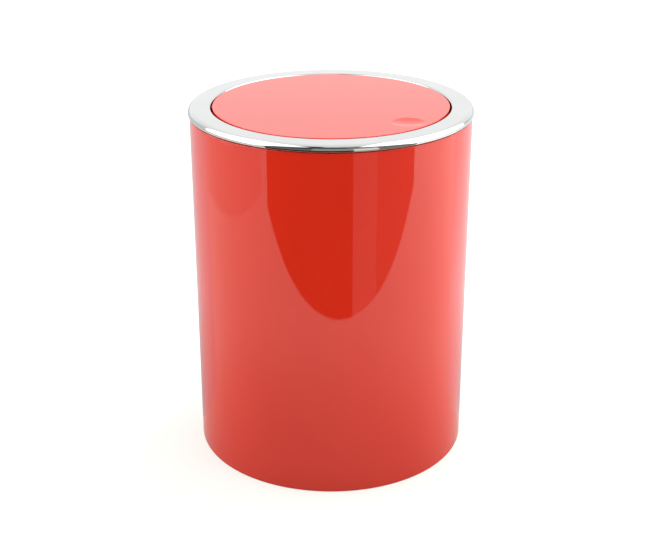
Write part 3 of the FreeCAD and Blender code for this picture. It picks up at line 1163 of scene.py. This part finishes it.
WHITE = (1.0, 1.0, 1.0, 1.0)
BLACK = (0.0, 0.0, 0.0, 1.0)
WARM_WHITE: Colour = (1.0, 0.985, 0.88)
COOL_WHITE: Colour = (0.85, 0.98, 1.0)
OLIVE_WHITE: Colour = (0.90, 1.0, 0.85)

DARK_SIDES: Span = (-52.0, 17.5)
PALE_SIDES: Span = (17.5, 37.0)
GREY_SIDES: Span = (37.0, 69.5)
FRONT_FACING = 6.6
FRONT_EDGE = 348.7
WALL_TOP = 4700.0


@dataclass(frozen=True)
class Softbox:
    """Area lamp that faces the bin, its spot given to the right, towards the camera and up."""

    name: str
    spot: Triple
    width: float
    height: float
    power: float


@dataclass(frozen=True)
class GlossCard:
    """Piece of the room that shows only in gloss, cut between two directions from the camera's.

    A card with no height lies on the ground, past an edge of the table. A card with a height
    stands round the bin as a wall.

    Attributes:
        name: the card's name.
        sides: directions of its left and right side.
        glow: its brightness.
        facing: direction in which a card on the ground lies.
        near: where a card on the ground starts, or how far back a wall stands.
        depth: length of a card on the ground.
        low: height of a wall's lower edge.
        height: height of its upper edge.
        tint: its colour.
        behind: brightness straight behind the bin, for a graded card.
    """

    name: str
    sides: Span
    glow: float
    facing: float = 0.0
    near: float = 0.0
    depth: float = 3000.0
    low: float = 0.0
    height: float = 0.0
    tint: Colour = WARM_WHITE
    behind: float = 0.0


def in_metres(span: Span) -> Span:
    """A span of millimetres in metres."""
    return span[0] * MM, span[1] * MM


@dataclass
class Studio:
    """Pale floor, soft light and the camera, laid out about the line from bin to camera."""

    azimuth: float = -48.0
    camera_distance: float = 808.15
    camera_height: float = 459.66
    pitch: float = 23.10
    yaw: float = -0.29
    roll: float = -0.12
    focal_pixels: float = 1284.34
    image_width: float = 650.0
    sensor: float = 36.0
    ambient: float = 0.85
    floor_size: float = 16000.0
    floor_roughness: float = 0.9
    # Painted shade: the floor's grey runs from its darker value round a spot before the bin to its
    # paler value further out.
    floor_albedo: Span = (0.36, 0.61)
    shade_spot: Point = (-20.0, 80.0)
    shade_reach: Span = (60.0, 300.0)
    floor_glow: float = 0.54
    floor_gloss: Span = (0.16, 0.66)
    gloss_reach: Span = (100.0, 720.0)
    # Painted shade on the graded back cards: their share of glow next to the bin, and how far out
    # it rises to full.
    back_share: float = 0.52
    back_reach: float = 230.0
    bin_radius: float = 91.4
    bin_middle: float = 150.0
    card_lift: float = 3.0
    wall_distance: float = 1900.0
    wall_sides: int = 128
    ground_width: float = 8000.0
    softboxes: tuple[Softbox, ...] = (
        Softbox("sweep_softbox", (0.0, -1100.0, 1450.0), 3400.0, 3000.0, 12.0),
        Softbox("left_softbox", (-960.0, 110.0, 950.0), 1500.0, 1700.0, 15.3),
        Softbox("right_softbox", (950.0, -60.0, 950.0), 1700.0, 1700.0, 23.0),
    )
    cards: tuple[GlossCard, ...] = (
        GlossCard("dark_ground", DARK_SIDES, 0.02, FRONT_FACING, FRONT_EDGE),
        GlossCard("left_ground", (-150.0, -57.0), 1.05, -86.0, 542.0, depth=240.0),
        GlossCard("left_back", (-185.0, -118.0), 1.12, 180.0, behind=0.80, tint=COOL_WHITE),
        GlossCard("right_back", (118.0, 185.0), 1.62, 180.0, behind=0.88, tint=COOL_WHITE),
        GlossCard("pale_ground", PALE_SIDES, 0.55, FRONT_FACING, FRONT_EDGE),
        GlossCard("grey_ground", GREY_SIDES, 0.30, FRONT_FACING, FRONT_EDGE),
        GlossCard("dark_wall", DARK_SIDES, 0.11, height=WALL_TOP),
        GlossCard("tall_wall", (-52.0, -14.0), 0.05, near=50.0, height=12000.0),
        GlossCard("low_wall", (-52.0, -15.0), 0.24, near=-50.0, low=260.0, height=980.0),
        GlossCard(
            "olive_wall", (-15.0, 17.5), 0.50, near=-50.0, low=260.0, height=1700.0,
            tint=OLIVE_WHITE,
        ),
        GlossCard("grey_wall", (17.5, 69.5), 0.30, height=WALL_TOP),
        GlossCard("pale_wall", PALE_SIDES, 1.20, near=-50.0, height=1220.0),
    )

    def build(self) -> None:
        """Sets up the stage."""
        bpy.context.scene.view_settings.view_transform = "Standard"
        self._camera()
        self._world()
        self._floor()
        for softbox in self.softboxes:
            self._lamp(softbox)
        for card in self.cards:
            self._card(card)

    def _spot(self, right: float, ahead: float, up: float) -> Vector:
        """A place given from the camera's side.

        Args:
            right: millimetres to the right in the picture.
            ahead: millimetres from the bin towards the camera.
            up: height in millimetres.

        Returns:
            The place in metres.
        """
        turn = math.radians(self.azimuth)
        across = Vector((math.cos(turn), math.sin(turn), 0.0))
        towards = Vector((math.sin(turn), -math.cos(turn), 0.0))
        return (across * right + towards * ahead + Vector((0.0, 0.0, up))) * MM

    def _way(self, right: float, ahead: float, up: float = 0.0) -> Vector:
        """A direction given from the camera's side."""
        return self._spot(right, ahead, up).normalized()

    def _camera(self) -> None:
        """Puts the camera where the photograph was taken from."""
        data = bpy.data.cameras.new("photo_camera")
        data.sensor_fit = "HORIZONTAL"
        data.sensor_width = self.sensor
        data.lens = self.focal_pixels * self.sensor / self.image_width
        camera = bpy.data.objects.new("photo_camera", data)
        bpy.context.scene.collection.objects.link(camera)
        yaw, pitch, roll = (math.radians(angle) for angle in (self.yaw, self.pitch, self.roll))
        level = math.cos(pitch)
        ahead = self._way(math.sin(yaw) * level, -math.cos(yaw) * level, -math.sin(pitch))
        right = self._way(math.cos(yaw), math.sin(yaw))
        up = right.cross(ahead)
        right, up = (
            math.cos(roll) * right + math.sin(roll) * up,
            math.cos(roll) * up - math.sin(roll) * right,
        )
        pose = Matrix((right, up, -ahead)).transposed().to_4x4()
        pose.translation = self._spot(0.0, self.camera_distance, self.camera_height)
        camera.matrix_world = pose
        bpy.context.scene.camera = camera

    def _world(self) -> None:
        """White surroundings, with a softer level for the light that they give."""
        bench = NodeBench(bpy.data.worlds.new("studio_white"), "Background")
        bench.set(Color=WHITE)
        bench.feed("Strength", bench.by_ray(self.ambient, 1.0, 1.0))
        bpy.context.scene.world = bench.owner

    def _floor(self) -> None:
        """A pale floor that shows white but keeps the bin's soft shadow, with painted shade in its
        grey before the bin.
        """
        deselect()
        bpy.ops.mesh.primitive_plane_add(size=self.floor_size * MM)
        floor = bpy.context.object
        floor.name = floor.data.name = "studio_floor"
        bench = NodeBench(bpy.data.materials.new("studio_floor"))
        bench.set(Roughness=self.floor_roughness, Specular_IOR_Level=0.0, Emission_Color=WHITE)
        bench.feed("Base Color", self._paler_outwards(bench))
        glow = bench.by_ray(0.0, self.floor_glow, self._brighter_rightwards(bench))
        bench.feed("Emission Strength", glow)
        floor.data.materials.append(bench.owner)

    def _paler_outwards(self, bench: NodeBench) -> Socket:
        """The floor's warm grey, with painted shade: darker round a spot before the bin, paler
        away from it.

        Args:
            bench: the floor's nodes.

        Returns:
            The colour's socket.
        """
        spot = self._spot(*self.shade_spot, 0.0)
        distance = bench.work_out(VECTORS, "DISTANCE", bench.place(), spot)
        reach = in_metres(self.shade_reach)
        grey = bench.remap(distance, reach, self.floor_albedo, soft=True)
        return bench.work_out(VECTORS, "MULTIPLY", grey, Vector(WARM_WHITE), result="Vector")

    def _brighter_rightwards(self, bench: NodeBench) -> Socket:
        """Strength of the floor in gloss, which rises to the right of the picture."""
        across = bench.work_out(VECTORS, "DOT_PRODUCT", bench.place(), self._way(1.0, 0.0))
        return bench.remap(across, in_metres(self.gloss_reach), self.floor_gloss)

    def _lamp(self, softbox: Softbox) -> None:
        """Adds a softbox.

        Args:
            softbox: what to add.
        """
        data = bpy.data.lights.new(softbox.name, "AREA")
        data.shape = "RECTANGLE"
        data.size, data.size_y = softbox.width * MM, softbox.height * MM
        data.energy = softbox.power
        lamp = bpy.data.objects.new(softbox.name, data)
        bpy.context.scene.collection.objects.link(lamp)
        lamp.location = self._spot(*softbox.spot)
        aim = self._spot(0.0, 0.0, self.bin_middle) - lamp.location
        lamp.rotation_euler = aim.to_track_quat("-Z", "Y").to_euler()

    def _card(self, card: GlossCard) -> None:
        """Adds a gloss card.

        Args:
            card: what to add.
        """
        deselect()
        if card.height:
            self._wall(card)
        else:
            self._ground(card)
        obj = bpy.context.object
        obj.name = obj.data.name = card.name
        settle(obj)
        for direction, sign in zip(card.sides, (-1.0, 1.0)):
            self._cut(obj, direction, sign)
        bench = NodeBench(bpy.data.materials.new(card.name))
        bench.set(Base_Color=BLACK, Specular_IOR_Level=0.0)
        bench.set(Emission_Color=(*card.tint, 1.0), Emission_Strength=card.glow)
        if card.behind:
            bench.feed("Emission Strength", self._fan(bench, card))
        obj.data.materials.append(bench.owner)
        obj.visible_camera = False
        obj.visible_diffuse = False
        obj.visible_shadow = False
        obj.visible_transmission = False

    def _fan(self, bench: NodeBench, card: GlossCard) -> Socket:
        """Strength of a card that changes with the direction, with painted shade that dims it near
        the bin.

        Args:
            bench: the card's nodes.
            card: the card, which lies on one side of the bin.

        Returns:
            The strength's socket.
        """
        side = math.copysign(1.0, card.sides[0])
        edge = self._spot(side * self.bin_radius, 0.0, 0.0)
        place = bench.work_out(VECTORS, "SUBTRACT", bench.place(), edge, result="Vector")
        aside = bench.work_out(VECTORS, "DOT_PRODUCT", place, self._way(side, 0.0))
        back = bench.work_out(VECTORS, "DOT_PRODUCT", place, self._way(0.0, -1.0))
        angle = bench.work_out(NUMBERS, "ARCTAN2", aside, back)
        opening = math.radians(180.0 - min(abs(direction) for direction in card.sides))
        level = bench.remap(angle, (0.0, opening), (card.behind, card.glow))
        distance = bench.work_out(VECTORS, "LENGTH", place)
        # Painted shade: the glow is dimmed near the bin as if the bin shaded the floor behind it.
        clear = bench.remap(distance, in_metres((0.0, self.back_reach)), (self.back_share, 1.0))
        return bench.work_out(NUMBERS, "MULTIPLY", level, clear)

    def _wall(self, card: GlossCard) -> None:
        """Adds an upright wall all round the bin."""
        bpy.ops.mesh.primitive_cylinder_add(
            vertices=self.wall_sides,
            radius=(self.wall_distance + card.near) * MM,
            depth=(card.height - card.low) * MM,
            end_fill_type="NOTHING",
            location=(0.0, 0.0, (card.low + card.height) / 2 * MM),
        )

    def _ground(self, card: GlossCard) -> None:
        """Lays a sheet on the ground past one edge of the table, the brighter the higher.

        Args:
            card: the sheet's card.
        """
        bpy.ops.mesh.primitive_plane_add(size=MM)
        obj = bpy.context.object
        obj.scale = (self.ground_width, card.depth, 1.0)
        away = math.radians(card.facing)
        reach = card.near + card.depth / 2
        lift = self.card_lift + card.glow
        obj.location = self._spot(reach * math.sin(away), reach * math.cos(away), lift)
        obj.rotation_euler = (0.0, 0.0, math.radians(self.azimuth + card.facing))

    def _cut(self, obj: Piece, direction: float, sign: float) -> None:
        """Cuts a card along a direction in which the bin's side mirrors the camera.

        Args:
            obj: the card.
            direction: degrees from the camera's direction, to the right.
            sign: 1 to clear what lies to the right, -1 for the left.
        """
        turned, away = math.radians(direction / 2), math.radians(direction)
        right, ahead = self.bin_radius * math.sin(turned), self.bin_radius * math.cos(turned)
        edit(obj)
        bpy.ops.mesh.bisect(
            plane_co=self._spot(right, ahead, 0.0),
            plane_no=self._way(math.cos(away), -math.sin(away)) * sign,
            clear_outer=True,
        )
        bpy.ops.object.mode_set(mode="OBJECT")


def main() -> None:
    """Builds the bin and its stage in order."""
    logging.basicConfig(level=logging.INFO, format="%(name)s: %(message)s")
    wardrobe = Wardrobe()
    for part in (Bucket(), LidRing(), LidFrame(), Flap(), SmallParts()):
        part.build(wardrobe)
    Studio().build()


if __name__ == "__main__":
    main()
